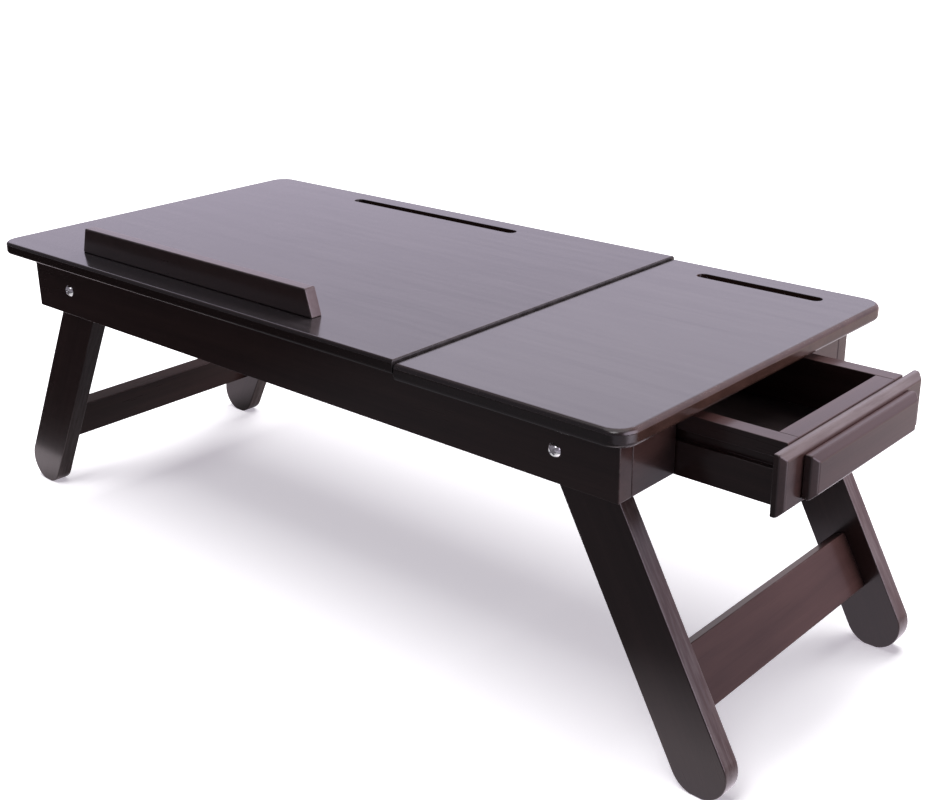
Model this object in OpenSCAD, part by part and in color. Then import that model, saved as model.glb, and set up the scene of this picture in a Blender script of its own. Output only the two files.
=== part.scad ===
// Folding lap desk: a fixed right panel over a drawer, a tilting left panel with a book
// ledge, and two splayed leg frames that fold flat under the top.
// Millimetres. X runs along the length, Y towards the back and Z up from the floor.

/* [Top] */
// Length of the whole top
top_length = 600; // [560:1:680]
// Depth of the top, front to back
top_depth = 294; // [288:1:330]
// Radius of the top's outer corners, seen from above
corner_r = 14.5; // [8:0.5:30]
// Width of the fixed right panel
right_panel_w = 165.5; // [160:0.5:185]
// Gap between the two panels
seam_gap = 1; // [0.5:0.5:5]
// Thickness of the tilting left panel
left_panel_t = 9.3; // [8.5:0.1:14]
// Thickness of the fixed right panel
right_panel_t = 11; // [10:0.5:16]
// Rounding of the left panel's rim
left_rim_r = 2.5; // [1:0.1:4]
// Rounding of the right panel's rim
right_rim_r = 3.5; // [1:0.1:4.5]
// Rounding of the panels' upper edges along the seam
seam_rim_r = 1.2; // [0.5:0.1:3]

/* [Frame] */
// Height of the frame's top edge above the floor
frame_top = 215; // [195:1:240]
// Height of the aprons and end rails
apron_h = 41; // [40:1:50]
// Thickness of the aprons and end rails
apron_t = 12; // [10:0.5:15]
// Overhang of the top past the front and rear aprons
side_overhang = 20; // [16:0.5:22]
// Overhang of the top past the end rails
end_overhang = 16; // [10:0.5:24]
// Width of the rail across the middle of the frame
centre_rail_w = 20; // [16:1:26]
// Height of the rail across the middle of the frame
centre_rail_h = 20; // [16:0.5:21]

/* [Slots] */
// Width of the tablet and phone slots
slot_w = 9; // [6:0.5:12]
// Length of the tablet slot
tablet_slot_l = 179; // [140:1:220]
// Middle of the tablet slot from the top's left end
tablet_slot_x = 210; // [180:1:240]
// Middle of the tablet slot from the top's rear edge
tablet_slot_in = 22; // [16:0.5:30]
// Depth of the tablet slot
tablet_slot_depth = 6; // [4.5:0.1:7]
// Length of the phone slot
phone_slot_l = 96; // [80:1:104]
// Middle of the phone slot from the top's right end
phone_slot_x = 82; // [76:1:86]
// Middle of the phone slot from the top's rear edge
phone_slot_in = 25; // [18:0.5:32]
// Depth of the phone slot
phone_slot_depth = 7; // [4.5:0.1:8]

/* [Ledge] */
// Length of the ledge along its foot
ledge_l = 257; // [200:0.5:300]
// Height of the ledge above the panel
ledge_h = 19; // [14:0.5:30]
// Thickness of the ledge
ledge_t = 9; // [8.5:0.5:16]
// Run of the slope at each end of the ledge
ledge_slope = 5.5; // [0:0.5:12]
// Left foot of the ledge from the top's left end
ledge_x = 82; // [50:1:100]
// Front face of the ledge from the top's front edge
ledge_in = 23; // [20:0.5:40]

/* [Tilt] */
// Steepest tilt of the left panel, in degrees
tilt_max = 35; // [25:1:40]
// Length of each hinge
hinge_l = 60; // [40:1:80]
// Middle of each hinge from the end of the left panel
hinge_inset = 85; // [70:1:95]
// Diameter of a hinge barrel
hinge_barrel_d = 3.5; // [3:0.1:5]
// Thickness of a hinge leaf
hinge_leaf_t = 1; // [0.8:0.1:1.3]
// Diameter of a hinge pin
hinge_pin_d = 1.7; // [1.4:0.1:2]
// Width of the prop stick
prop_w = 22; // [16:1:28]
// Thickness of the prop stick
prop_t = 9; // [7:0.5:10]
// Gap between the foot of the folded prop and the rear apron
prop_rear_gap = 15.5; // [12:0.5:30]
// Prop's pin below the panel
prop_drop = 8; // [7.5:0.1:9]
// Diameter of the prop's pin
prop_pin_d = 4; // [3:0.5:5]

/* [Legs] */
// Width of a leg
leg_w = 38; // [32:0.5:40]
// Thickness of a leg
leg_t = 13.5; // [11:0.5:15]
// Splay of an open leg from the vertical, in degrees
leg_splay = 28.3; // [20:0.1:32]
// Pivot to the middle of the stretcher, along the leg
stretcher_at = 154.4; // [145:0.1:160]
// Height of the stretcher, along the leg
stretcher_h = 39; // [30:0.5:45]
// Thickness of the stretcher
stretcher_t = 10; // [8:0.5:16]
// Diameter of the pivot bolts
bolt_d = 6; // [5:0.5:8]
// Diameter of the pivot bolts' domed heads
bolt_head_d = 9; // [8.5:0.1:15]
// Height of the pivot bolts' domed heads
bolt_head_h = 2.6; // [2:0.1:4]

/* [Drawer] */
// Room between the drawer's guide rails and the ends of the pivot bolts, when centred
bay_room = 12.8; // [8:0.1:25]
// Length of the drawer box
drawer_l = 132; // [110:1:135]
// Height of the drawer box
drawer_h = 38.5; // [34:0.5:39]
// Thickness of the drawer's sides and back
drawer_wall = 11; // [9:0.5:13]
// Thickness of the drawer box's front board
drawer_box_front_t = 12; // [10:0.5:15]
// Thickness of the drawer's bottom sheet
drawer_sheet_t = 3; // [2.5:0.5:4]
// Middle of the drawer in front of the frame's middle
drawer_forward = 5; // [0:0.5:8]
// How far the drawer stands open
drawer_open = 68.7; // [20:0.1:90]
// Thickness of the drawer's face board
face_t = 7; // [6:0.5:12]
// Height of the drawer's face board
face_h = 36.5; // [34:0.5:40]
// Overlap of the face board past each side of the box
face_overlap = 15; // [8:0.5:18]
// Bevel round the edge of the face board
face_bevel = 3.5; // [1:0.5:5]
// Length of the pull bar on the face board
pull_l = 124; // [80:1:140]
// Height of the pull bar
pull_h = 26; // [18:0.5:28]
// Thickness of the pull bar
pull_t = 8; // [6.5:0.5:12]
// Bevel round the edge of the pull bar
pull_bevel = 3.5; // [1:0.5:5]
// Thickness of the drawer's guide rails and of the divider
guide_t = 12; // [10:0.5:14]
// Height of the runner strips
runner_h = 6.4; // [5:0.1:8]
// Depth that a runner strip reaches into the drawer's side
runner_depth = 3.7; // [2.5:0.1:4.5]
// Middle of the runner strips above the drawer's foot
runner_up = 25; // [22:0.5:28]

/* [Fits] */
// Radial clearance round pins, bolts, screws and dowels
fit_gap = 0.05; // [0.02:0.01:0.1]
// Gap between pieces that move past each other
body_gap = 0.3; // [0.2:0.05:0.5]
// Gap on each side of the drawer box
drawer_side_gap = 0.8; // [0.5:0.1:1.5]
// Gap between the drawer box and the panel above it
drawer_top_gap = 3.5; // [2:0.5:5]
// Gap between a leg's round top and the panel above it
leg_top_gap = 2; // [1:0.5:3]
// Thickness of a washer
washer_t = 1; // [0.8:0.1:1.6]
// Diameter of a dowel
dowel_d = 6; // [4:0.5:7]
// Depth of a dowel in the face of a board
dowel_seat = 8; // [5:0.5:8.5]
// Depth of a dowel in the end of a board
dowel_reach = 22; // [15:1:24]
// Diameter of a wood screw
screw_d = 3.5; // [3:0.1:4]

/* [Hidden] */
$fn = 64;

// Outline of the top and the frame
half_l = top_length / 2;
half_d = top_depth / 2;
seam_right = half_l - right_panel_w;
seam_left = seam_right - seam_gap;
apron_y = half_d - side_overhang;
apron_in = apron_y - apron_t;
rail_x = half_l - end_overhang;
rail_in = rail_x - apron_t;
frame_foot = frame_top - apron_h;
bore_gap = 0.3;

// Left panel hinge: its barrels hang just in front of the apron, under the overhang
barrel_r = hinge_barrel_d / 2;
panel_z = frame_top + hinge_barrel_d + body_gap;
panel_top = panel_z + left_panel_t;
hinge_y = -apron_y - barrel_r - body_gap;
hinge_z = frame_top + barrel_r;
hinge_mids = [-half_l + hinge_inset, seam_left - hinge_inset];
knuckles = 5;
knuckle_l = hinge_l / knuckles;
leaf_inset = 1;
leaf_end = hinge_y + barrel_r + body_gap + apron_t - leaf_inset;
leaf_start = hinge_y + 0.6 * barrel_r;
hinge_screw_d = 2.2;
hinge_screw_head_d = 4;
hinge_screw_head_h = 0.6;
hinge_screw_l = 6;
hinge_screw_xs = [-hinge_l / 3, 0, hinge_l / 3];
hinge_screw_y = (hinge_y + barrel_r + leaf_end) / 2;

// Prop: as long as its pin is far from the hinge, so its foot slides along one straight line
foot_r = prop_t / 2;
prop_reach = (apron_in - prop_rear_gap - foot_r - hinge_y) / 2;
prop_y = hinge_y + prop_reach;
prop_z = panel_z - prop_drop;
prop_fall = hinge_z - prop_z;
prop_slope = atan(prop_fall / prop_reach);
prop_l = norm([prop_reach, prop_fall]);
ear_t = 1.2;
ear_rim = 3.5;
ear_r = prop_pin_d / 2 + ear_rim;
ear_x = prop_w / 2 + body_gap;
bracket_l = 30;
bracket_plate_z = panel_z - ear_t;
bracket_screw_in = 5;
pin_head_t = 1;
pin_head_rim = 1.2;
pin_head_d = prop_pin_d + 2 * pin_head_rim;

// Rack under the prop's foot, with a step for each of three tilts
rack_steps = [tilt_max - 17, tilt_max - 8, tilt_max];
rack_inset = 1;
rack_w = centre_rail_w - 2 * rack_inset;
rack_foot = frame_foot + centre_rail_h;
rack_margin = 8;
rack_tooth = 3.5;
rack_ramp = 10;
rack_under = foot_r + 2 * body_gap;

// Legs: pivot height from the panel above, pivot place from the end rail that stops the leg
leg_gap = washer_t + body_gap;
leg_out = apron_in - leg_gap;
leg_in = leg_out - leg_t;
leg_y = leg_in + leg_t / 2;
foot_flat = 0.5;
pivot_z = frame_top - leg_w / 2 - leg_top_gap;
stop_drop = pivot_z - frame_foot;
pivot_x = rail_in - (leg_w / 2 + body_gap + stop_drop * sin(leg_splay)) / cos(leg_splay);
leg_l = (pivot_z - leg_w / 2 + foot_flat) / cos(leg_splay);
leg_reach = pivot_x + leg_l * sin(leg_splay) + leg_w / 2;
stretcher_dowels_at = [stretcher_at - stretcher_h / 4, stretcher_at + stretcher_h / 4];
washer_rim = 5;
washer_d = bolt_d + 2 * washer_rim;
nut_t = 0.8 * bolt_d;
nut_d = 1.95 * bolt_d;
bolt_past = 1;
bolt_l = apron_t + leg_gap + leg_t + leg_gap + nut_t + bolt_past;
recess_w = 1.2;
recess_l = 0.55 * bolt_head_d;
recess_depth = 1.3;

// Drawer at rest, standing open, as wide as the leg pivots leave room for
drawer_w = 2 * (apron_y - bolt_l - bay_room - guide_t - drawer_side_gap);
drawer_y = -drawer_forward;
box_x1 = rail_x + drawer_open;
box_x0 = box_x1 - drawer_l;
box_z1 = frame_top - drawer_top_gap;
box_z0 = box_z1 - drawer_h;
box_mid_z = (box_z0 + box_z1) / 2;
inner_w = drawer_w - 2 * drawer_wall;
face_x = box_x1 + face_t;
pull_x = face_x + pull_t;
runner_z = box_z0 + runner_up;
groove_depth = runner_depth + body_gap;
groove_h = runner_h + 2 * body_gap;
sheet_up = 4;
sheet_seat = 4;
sheet_slack = 0.5;
drawer_dowel_d = 5;
drawer_dowel_seat = 6;
drawer_dowel_reach = 16;
drawer_dowel_up = 14;
drawer_dowel_down = 8;
drawer_dowel_zs = [box_z0 + drawer_dowel_up, box_z1 - drawer_dowel_down];
pull_screw_y = 0.35 * pull_l;
face_screw_in = 9.5;
face_screw_y = pull_screw_y - face_screw_in;
board_screw_bite = 4.5;

// Drawer bay: opening in the end rail, guide rails and divider
bay_half = drawer_w / 2 + drawer_side_gap;
bay_lo = drawer_y - bay_half;
bay_hi = drawer_y + bay_half;
guide_lift = 2;
guide_foot = frame_foot + guide_lift;
divider_in = 1.5;
divider_x0 = seam_right + divider_in;
divider_x1 = divider_x0 + guide_t;
divider_past = 6;
divider_y0 = bay_lo - guide_t - divider_past;
divider_y1 = bay_hi + guide_t + divider_past;
screw_grip = 15;
screw_bite = 7;
screw_head_d = 2 * screw_d;
screw_head_h = 2;
guide_screw_in = 25;
divider_screw_y = 50;
ledge_screw_bite = 11;

// Places of repeated fasteners
dowel_quarters = [0.25, 0.75];
corner_x = rail_x - apron_t / 2;
frame_dowels_xz = concat(
    [for (side = [-1, 1], q = dowel_quarters) [side * corner_x, frame_foot + q * apron_h]],
    [for (q = dowel_quarters) [0, frame_foot + q * centre_rail_h]]
);
panel_dowel_in = 15;
bay_dowel_in = 9;
panel_dowels_xy = [
    [seam_right + panel_dowel_in, -apron_y + apron_t / 2],
    [seam_right + panel_dowel_in, apron_y - apron_t / 2],
    [corner_x, bay_lo - bay_dowel_in],
    [corner_x, bay_hi + bay_dowel_in]
];
panel_dowel_cover = 5;
panel_dowel_seat = right_panel_t - panel_dowel_cover;
guide_ys = [bay_lo - guide_t / 2, bay_hi + guide_t / 2];
guide_screws_xy = concat(
    [for (y = guide_ys, x = [divider_x1 + guide_screw_in, rail_in - guide_screw_in]) [x, y]],
    [for (side = [-1, 1]) [divider_x0 + guide_t / 2, drawer_y + side * divider_screw_y]]
);
ledge_left = -half_l + ledge_x;
ledge_y0 = -half_d + ledge_in;
ledge_mid_y = ledge_y0 + ledge_t / 2;
ledge_screw_pitch = 70;
ledge_screw_xs = [for (k = [-1, 0, 1]) ledge_left + ledge_l / 2 + k * ledge_screw_pitch];
rest_pad_d = 12;
rest_pad_end_in = 55;
rest_pad_seam_in = 30;
rest_pad_xs = [-half_l + rest_pad_end_in, seam_left - rest_pad_seam_in];

// The origin lies under the middle of the whole desk with its drawer open
desk_shift = (leg_reach - max(leg_reach, pull_x)) / 2;

wood = [0.17, 0.13, 0.12];
wood_lit = [0.24, 0.18, 0.17];
wood_top = [0.3, 0.27, 0.3];
wood_raw = [0.6, 0.47, 0.33];
steel = [0.8, 0.8, 0.82];
brass = [0.72, 0.6, 0.35];
felt = [0.12, 0.12, 0.12];

// Helpers

// A block between two opposite corners
module block(low, high) {
    translate(low) cube(high - low);
}

// A round bar along X, Y or Z from the origin
module bar_x(d, l) {
    rotate([0, 90, 0]) cylinder(d = d, h = l);
}

module bar_y(d, l) {
    rotate([-90, 0, 0]) cylinder(d = d, h = l);
}

module bar_z(d, l) {
    cylinder(d = d, h = l);
}

// A profile drawn in X and Z, given a thickness along Y about the origin
module along_y(t) {
    rotate([90, 0, 0]) linear_extrude(t, center = true) children();
}

// A profile drawn in Y and Z, given a thickness along X about the origin
module along_x(t) {
    rotate([90, 0, 90]) linear_extrude(t, center = true) children();
}

// A bar with round ends, between two points of a plane
module round_bar(from, to, w) {
    run = to - from;
    l = norm(run);
    translate(from) rotate(atan2(run[1], run[0])) {
        circle(d = w);
        translate([l, 0]) circle(d = w);
        translate([0, -w / 2]) square([l, w]);
    }
}

// The children as drawn for the right end, or turned over for the left end
module at_end(side) {
    if (side < 0) mirror([1, 0, 0]) children();
    else children();
}

// The children as drawn for the rear, or turned over for the front
module at_depth(side) {
    if (side < 0) mirror([0, 1, 0]) children();
    else children();
}

// The finished place of a piece that is drawn about the middle of the top
module on_desk() {
    translate([desk_shift, 0, 0]) children();
}

// A plate in Y and Z that grows along X, with a bevel round its outer face
module bevelled_plate(w, h, t, bevel) {
    intersection() {
        linear_extrude(h, center = true)
            polygon([[0, -w / 2], [t - bevel, -w / 2], [t, bevel - w / 2],
                     [t, w / 2 - bevel], [t - bevel, w / 2], [0, w / 2]]);
        along_y(w)
            polygon([[0, -h / 2], [t - bevel, -h / 2], [t, bevel - h / 2],
                     [t, h / 2 - bevel], [t - bevel, h / 2], [0, h / 2]]);
    }
}

// A screw along +Z with the top of its head at the origin
module wood_screw(d, head_d, head_h, l) {
    bar_z(head_d, head_h);
    bar_z(d, l);
}

// Clearance for a wood screw, open below the head by a given depth
module screw_bore(d, head_d, head_h, l, open) {
    translate([0, 0, -open]) bar_z(head_d + 2 * fit_gap, open + head_h);
    bar_z(d + 2 * fit_gap, l + bore_gap);
}

// Cross-section of a panel's margin, as wide as the corner radius, with a rounded rim
module rim_profile(t, rim_r) {
    square([corner_r - rim_r, t]);
    translate([0, rim_r]) square([corner_r, t - 2 * rim_r]);
    for (z = [rim_r, t - rim_r]) translate([corner_r - rim_r, z]) circle(r = rim_r);
}

// What the rounding takes off the upper edge of a panel's left end
module seam_edge_cut(x, t) {
    translate([x, 0, t]) along_y(top_depth + 2) difference() {
        translate([-1, -seam_rim_r]) square(seam_rim_r + 1);
        translate([seam_rim_r, -seam_rim_r]) circle(r = seam_rim_r);
    }
}

// A panel of the top, straight at the seam and round at the outer corners of the right end
module panel_slab(x0, x1, t, rim_r) {
    middle_x = x1 - corner_r;
    middle_y = half_d - corner_r;
    difference() {
        union() {
            block([x0, -middle_y, 0], [middle_x, middle_y, t]);
            translate([middle_x, middle_y, 0]) rotate([90, 0, 0])
                linear_extrude(2 * middle_y) rim_profile(t, rim_r);
            for (side = [-1, 1]) at_depth(side) {
                translate([x0, middle_y, 0]) rotate([90, 0, 90])
                    linear_extrude(middle_x - x0) rim_profile(t, rim_r);
                translate([middle_x, middle_y, 0]) rotate_extrude(angle = 90) rim_profile(t, rim_r);
            }
        }
        seam_edge_cut(x0, t);
    }
}

// A slot with round ends, cut down from the top of a panel
module slot_cut(x, y, l, top, depth) {
    run = (l - slot_w) / 2;
    translate([x, y, top - depth])
        linear_extrude(depth + 1) round_bar([-run, 0], [run, 0], slot_w);
}

// Frame

module dowel_bores_y(side) {
    for (p = frame_dowels_xz) translate([p[0], side * apron_in, p[1]]) at_depth(side) {
        translate([0, -dowel_reach - bore_gap, 0])
            bar_y(dowel_d + 2 * fit_gap, dowel_reach + dowel_seat + 2 * bore_gap);
    }
}

module panel_dowel_bores() {
    for (p = panel_dowels_xy) translate([p[0], p[1], frame_top - dowel_reach - bore_gap])
        bar_z(dowel_d + 2 * fit_gap, dowel_reach + panel_dowel_seat + 2 * bore_gap);
}

module apron(side) {
    difference() {
        block([-rail_x, min(side * apron_in, side * apron_y), frame_foot],
              [rail_x, max(side * apron_in, side * apron_y), frame_top]);
        for (end = [-1, 1]) translate([end * pivot_x, side * apron_y, pivot_z])
            at_depth(-side) translate([0, -1, 0]) bar_y(bolt_d + 2 * fit_gap, apron_t + 2);
        dowel_bores_y(side);
        panel_dowel_bores();
    }
}

module front_apron() {
    color(wood) difference() {
        apron(-1);
        hinge_screw_bores(frame_top + hinge_leaf_t, -1);
    }
}

module rear_apron() {
    color(wood) apron(1);
}

module end_rail(end, y0, y1) {
    difference() {
        block([min(end * rail_in, end * rail_x), y0, frame_foot],
              [max(end * rail_in, end * rail_x), y1, frame_top]);
        dowel_bores_y(-1);
        dowel_bores_y(1);
        panel_dowel_bores();
    }
}

module left_end_rail() {
    color(wood_lit) end_rail(-1, -apron_in, apron_in);
}

module right_end_rail_front() {
    color(wood_lit) end_rail(1, -apron_in, bay_lo);
}

module right_end_rail_rear() {
    color(wood_lit) end_rail(1, bay_hi, apron_in);
}

module centre_rail() {
    color(wood) difference() {
        block([-centre_rail_w / 2, -apron_in, frame_foot],
              [centre_rail_w / 2, apron_in, rack_foot]);
        dowel_bores_y(-1);
        dowel_bores_y(1);
    }
}

// The line that the prop's foot follows, at a distance from the hinge and an offset below it
function foot_line(along, under) = [
    hinge_y + along * cos(prop_slope) - under * sin(prop_slope),
    hinge_z - along * sin(prop_slope) - under * cos(prop_slope)
];

module prop_rack() {
    stops = [for (k = [len(rack_steps) - 1 : -1 : 0]) 2 * prop_l * cos(rack_steps[k]) + foot_r];
    front = foot_line(stops[0] - rack_ramp - rack_margin, rack_under);
    rear = foot_line(stops[len(stops) - 1] + rack_margin, rack_under);
    teeth = [for (s = stops) each [
        foot_line(s - rack_ramp, rack_under),
        foot_line(s, rack_under + rack_tooth),
        foot_line(s, rack_under)
    ]];
    color(wood_lit) along_x(rack_w)
        polygon(concat([[front[0], rack_foot], front], teeth, [rear, [rear[0], rack_foot]]));
}

module divider() {
    color(wood) difference() {
        block([divider_x0, divider_y0, guide_foot], [divider_x1, divider_y1, frame_top]);
        guide_screw_bores();
    }
}

module guide_screw_bores() {
    for (p = guide_screws_xy) translate([p[0], p[1], frame_top - screw_grip])
        screw_bore(screw_d, screw_head_d, screw_head_h, screw_grip + screw_bite, apron_h);
}

module guide_rail(y) {
    color(wood) difference() {
        block([divider_x1, y - guide_t / 2, guide_foot], [rail_in, y + guide_t / 2, frame_top]);
        guide_screw_bores();
    }
}

module guide_rail_front() {
    guide_rail(guide_ys[0]);
}

module guide_rail_rear() {
    guide_rail(guide_ys[1]);
}

// A strip on a guide rail that carries the drawer by the groove in its side
module runner(y0, y1) {
    color(wood_raw) block([divider_x1, y0, runner_z - runner_h / 2], [rail_in, y1, runner_z + runner_h / 2]);
}

module runner_front() {
    runner(bay_lo, bay_lo + drawer_side_gap + runner_depth);
}

module runner_rear() {
    runner(bay_hi - drawer_side_gap - runner_depth, bay_hi);
}

module right_panel() {
    color(wood_top) difference() {
        translate([0, 0, frame_top]) panel_slab(seam_right, half_l, right_panel_t, right_rim_r);
        slot_cut(half_l - phone_slot_x, half_d - phone_slot_in, phone_slot_l,
                 frame_top + right_panel_t, phone_slot_depth);
        panel_dowel_bores();
        guide_screw_bores();
    }
}

module frame_dowels() {
    color(wood_raw) for (p = frame_dowels_xz, side = [-1, 1])
        translate([p[0], side * apron_in, p[1]]) at_depth(side)
            translate([0, -dowel_reach, 0]) bar_y(dowel_d, dowel_reach + dowel_seat);
}

module panel_dowels() {
    color(wood_raw) for (p = panel_dowels_xy) translate([p[0], p[1], frame_top - dowel_reach])
        bar_z(dowel_d, dowel_reach + panel_dowel_seat);
}

module guide_screws() {
    color(steel) for (p = guide_screws_xy) translate([p[0], p[1], frame_top - screw_grip])
        wood_screw(screw_d, screw_head_d, screw_head_h, screw_grip + screw_bite);
}

module rest_pads() {
    color(felt) for (x = rest_pad_xs) translate([x, apron_y - apron_t / 2, frame_top])
        bar_z(rest_pad_d, panel_z - frame_top - body_gap);
}

// Leg pivots

// The children at each of the four pivots, facing out of the apron along -Y
module at_pivots() {
    for (end = [-1, 1], side = [-1, 1])
        at_depth(-side) translate([end * pivot_x, -apron_y, pivot_z]) children();
}

module bolt_head() {
    dome_r = (pow(bolt_head_d / 2, 2) + pow(bolt_head_h, 2)) / (2 * bolt_head_h);
    difference() {
        intersection() {
            translate([0, dome_r - bolt_head_h, 0]) sphere(r = dome_r);
            translate([0, -bolt_head_h - 1, 0]) bar_y(bolt_head_d + 1, bolt_head_h + 1);
        }
        for (turn = [45, 135]) rotate([0, turn, 0])
            translate([0, recess_depth / 2 - bolt_head_h, 0])
                cube([recess_l, recess_depth, recess_w], center = true);
    }
}

module pivot_bolts() {
    color(steel) at_pivots() {
        bolt_head();
        bar_y(bolt_d, bolt_l);
    }
}

module washer() {
    difference() {
        bar_y(washer_d, washer_t);
        translate([0, -1, 0]) bar_y(bolt_d + 2 * fit_gap, washer_t + 2);
    }
}

module pivot_washers() {
    color(steel) at_pivots() {
        translate([0, apron_t, 0]) washer();
        translate([0, apron_t + leg_gap + leg_t + body_gap, 0]) washer();
    }
}

module pivot_nuts() {
    color(steel) at_pivots() translate([0, apron_t + 2 * leg_gap + leg_t, 0]) difference() {
        rotate([-90, 0, 0]) cylinder(d = nut_d, h = nut_t, $fn = 6);
        translate([0, -1, 0]) bar_y(bolt_d + 2 * fit_gap, nut_t + 2);
    }
}

// Leg frames

// A point on a leg's middle line, at a distance from its pivot
function on_leg(along) = [pivot_x + along * sin(leg_splay), pivot_z - along * cos(leg_splay)];

module leg_outline() {
    difference() {
        round_bar(on_leg(0), on_leg(leg_l), leg_w);
        translate([pivot_x, -leg_w]) square([leg_reach, leg_w]);
    }
}

module stretcher_dowel_set(d, slack) {
    for (side = [-1, 1], along = stretcher_dowels_at)
        at_depth(side) translate([on_leg(along)[0], leg_in - dowel_reach - slack, on_leg(along)[1]])
            bar_y(d, dowel_reach + dowel_seat + 2 * slack);
}

module leg(end, side) {
    color(wood) at_end(end) difference() {
        translate([0, side * leg_y, 0]) along_y(leg_t) leg_outline();
        translate([pivot_x, -apron_y, pivot_z]) bar_y(bolt_d + 2 * fit_gap, 2 * apron_y);
        stretcher_dowel_set(dowel_d + 2 * fit_gap, bore_gap);
    }
}

module stretcher(end) {
    middle = on_leg(stretcher_at);
    color(wood_lit) at_end(end) difference() {
        translate([middle[0], 0, middle[1]]) rotate([0, -leg_splay, 0])
            cube([stretcher_t, 2 * leg_in, stretcher_h], center = true);
        stretcher_dowel_set(dowel_d + 2 * fit_gap, bore_gap);
    }
}

module stretcher_dowels(end) {
    color(wood_raw) at_end(end) stretcher_dowel_set(dowel_d, 0);
}

module left_front_leg() {
    leg(-1, -1);
}

module left_rear_leg() {
    leg(-1, 1);
}

module left_stretcher() {
    stretcher(-1);
}

module left_stretcher_dowels() {
    stretcher_dowels(-1);
}

module right_front_leg() {
    leg(1, -1);
}

module right_rear_leg() {
    leg(1, 1);
}

module right_stretcher() {
    stretcher(1);
}

module right_stretcher_dowels() {
    stretcher_dowels(1);
}

// Tilting panel and its hinges

// Hinge screws with their heads at a height, driven down (-1) or up (1)
module at_hinge_screws(z, way) {
    for (mid = hinge_mids, x = hinge_screw_xs)
        translate([mid + x, hinge_screw_y, z]) rotate([way < 0 ? 180 : 0, 0, 0]) children();
}

module hinge_screw_bores(z, way) {
    at_hinge_screws(z, way)
        screw_bore(hinge_screw_d, hinge_screw_head_d, hinge_screw_head_h, hinge_screw_l, 1);
}

module hinge_screw_set(z, way) {
    color(brass) at_hinge_screws(z, way)
        wood_screw(hinge_screw_d, hinge_screw_head_d, hinge_screw_head_h, hinge_screw_l);
}

// One leaf with every second barrel, starting from a given one
module hinge_leaf(leaf_z, first) {
    barrel_l = knuckle_l - body_gap;
    difference() {
        union() {
            translate([-hinge_l / 2, hinge_y + barrel_r + body_gap, leaf_z])
                cube([hinge_l, leaf_end - hinge_y - barrel_r - body_gap, hinge_leaf_t]);
            for (k = [first : 2 : knuckles - 1])
                translate([k * knuckle_l - hinge_l / 2 + body_gap / 2, 0, 0]) {
                    translate([0, leaf_start, leaf_z])
                        cube([barrel_l, leaf_end - leaf_start, hinge_leaf_t]);
                    translate([0, hinge_y, hinge_z]) bar_x(hinge_barrel_d, barrel_l);
                }
        }
        translate([-hinge_l, hinge_y, hinge_z]) bar_x(hinge_pin_d + 2 * fit_gap, 2 * hinge_l);
    }
}

module hinge_frame_leaves() {
    color(brass) difference() {
        for (mid = hinge_mids) translate([mid, 0, 0]) hinge_leaf(frame_top, 0);
        hinge_screw_bores(frame_top + hinge_leaf_t, -1);
    }
}

module hinge_panel_leaves() {
    color(brass) difference() {
        for (mid = hinge_mids) translate([mid, 0, 0]) hinge_leaf(panel_z - hinge_leaf_t, 1);
        hinge_screw_bores(panel_z - hinge_leaf_t, 1);
    }
}

module hinge_pins() {
    color(steel) for (mid = hinge_mids)
        translate([mid - hinge_l / 2, hinge_y, hinge_z]) bar_x(hinge_pin_d, hinge_l);
}

module hinge_frame_screws() {
    hinge_screw_set(frame_top + hinge_leaf_t, -1);
}

module hinge_panel_screws() {
    hinge_screw_set(panel_z - hinge_leaf_t, 1);
}

module at_ledge_screws() {
    for (x = ledge_screw_xs) translate([x, ledge_mid_y, panel_z]) children();
}

module ledge_screw_bores() {
    at_ledge_screws() screw_bore(screw_d, screw_head_d, screw_head_h, left_panel_t + ledge_screw_bite, 1);
}

module at_bracket_screws() {
    for (side = [-1, 1])
        translate([0, prop_y + side * (bracket_l / 2 - bracket_screw_in), bracket_plate_z]) children();
}

module bracket_screw_bores() {
    at_bracket_screws() screw_bore(hinge_screw_d, hinge_screw_head_d, hinge_screw_head_h, hinge_screw_l, 1);
}

module left_panel() {
    color(wood_top) difference() {
        translate([0, 0, panel_z]) at_end(-1) panel_slab(-seam_left, half_l, left_panel_t, left_rim_r);
        slot_cut(tablet_slot_x - half_l, half_d - tablet_slot_in, tablet_slot_l, panel_top, tablet_slot_depth);
        hinge_screw_bores(panel_z - hinge_leaf_t, 1);
        ledge_screw_bores();
        bracket_screw_bores();
    }
}

module ledge() {
    color(wood) difference() {
        translate([ledge_left, ledge_mid_y, panel_top]) along_y(ledge_t)
            polygon([[0, 0], [ledge_l, 0], [ledge_l - ledge_slope, ledge_h], [ledge_slope, ledge_h]]);
        ledge_screw_bores();
    }
}

module ledge_screws() {
    color(steel) at_ledge_screws()
        wood_screw(screw_d, screw_head_d, screw_head_h, left_panel_t + ledge_screw_bite);
}

// Prop

module prop_bracket() {
    color(steel) difference() {
        union() {
            block([-ear_x - ear_t, prop_y - bracket_l / 2, bracket_plate_z],
                  [ear_x + ear_t, prop_y + bracket_l / 2, panel_z]);
            for (side = [-1, 1]) translate([side * (ear_x + ear_t / 2), 0, 0]) along_x(ear_t) {
                translate([prop_y, prop_z]) circle(r = ear_r);
                translate([prop_y - ear_r, prop_z]) square([2 * ear_r, panel_z - prop_z]);
            }
        }
        translate([-prop_w, prop_y, prop_z]) bar_x(prop_pin_d + 2 * fit_gap, 2 * prop_w);
        bracket_screw_bores();
    }
}

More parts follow.
